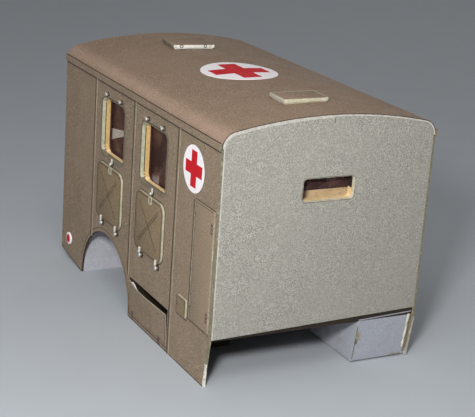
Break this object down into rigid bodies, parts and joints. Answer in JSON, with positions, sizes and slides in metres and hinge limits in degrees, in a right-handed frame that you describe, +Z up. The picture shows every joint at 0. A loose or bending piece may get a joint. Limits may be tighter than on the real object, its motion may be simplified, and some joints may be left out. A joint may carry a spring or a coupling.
{
  "type": "card model of a military ambulance truck body",
  "caption": "Box body of a scale card model ambulance truck, with wheel arches, windows, stowed blackout covers held by small catches, roof hatches and a hinged lower locker flap.",
  "frame": {"origin": "centre of the box that encloses the model, on the surface that it stands on", "axes": "+X to the vehicle's left-hand side, -Y along the view of the front wall that meets the cab, +Z up"},
  "size_m": [0.0834, 0.1368, 0.0921],
  "materials": {
    "printed_side": "matt printed card",
    "printed_roof": "matt printed card",
    "printed_front": "matt printed card",
    "ochre_board": "cut board edge",
    "grey_board": "plain unprinted board",
    "clear_film": "clear film",
    "sign_print": "matt printed paper",
    "reflector_print": "matt printed paper"
  },
  "bodies": {
    "body": {"blackout_cover_front_left": "printed_side", "blackout_cover_front_right": "printed_side", "blackout_cover_rear_left": "printed_side", "blackout_cover_rear_right": "printed_side", "cornice_left": "printed_side", "cornice_right": "printed_side", "floor": "grey_board", "front_box_left": "grey_board", "front_core": "ochre_board", "front_wall": "printed_front", "latch_plate_left": "printed_side", "latch_plate_right": "printed_side", "locker_box_right": "grey_board", "rear_box_left": "grey_board", "rear_box_right": "grey_board", "rear_core": "ochre_board", "rear_door_left": "printed_side", "rear_door_right": "printed_side", "rear_wall": "printed_side", "red_cross_left": "sign_print", "red_cross_right": "sign_print", "red_cross_roof": "sign_print", "reflector_left": "reflector_print", "reflector_right": "reflector_print", "roof_board": "ochre_board", "roof_hatch_front": "printed_roof", "roof_hatch_rear": "printed_roof", "roof_skin": "printed_roof", "seam_strip_front_left": "printed_side", "seam_strip_front_right": "printed_side", "seam_strip_middle_left": "printed_side", "seam_strip_middle_right": "printed_side", "seam_strip_rear_left": "printed_side", "seam_strip_rear_right": "printed_side", "side_core_left": "ochre_board", "side_core_right": "ochre_board", "side_skin_left": "printed_side", "side_skin_right": "printed_side", "tall_locker_door_left": "printed_side", "tall_locker_door_right": "printed_side", "wheel_well_left": "grey_board", "wheel_well_right": "grey_board", "window_film_bulkhead": "clear_film", "window_film_door_left": "clear_film", "window_film_door_right": "clear_film", "window_film_front_left": "clear_film", "window_film_front_right": "clear_film", "window_film_rear_left": "clear_film", "window_film_rear_right": "clear_film"},
    "flap": {"locker_flap": "printed_side"}
  },
  "joints": [
    {"name": "locker_flap_hinge", "type": "hinge", "parent": "body", "child": "flap", "pos_m": [-0.04, -0.0198, 0.0016], "axis": [0, -1, 0], "range_deg": [-3, 82]}
  ]
}
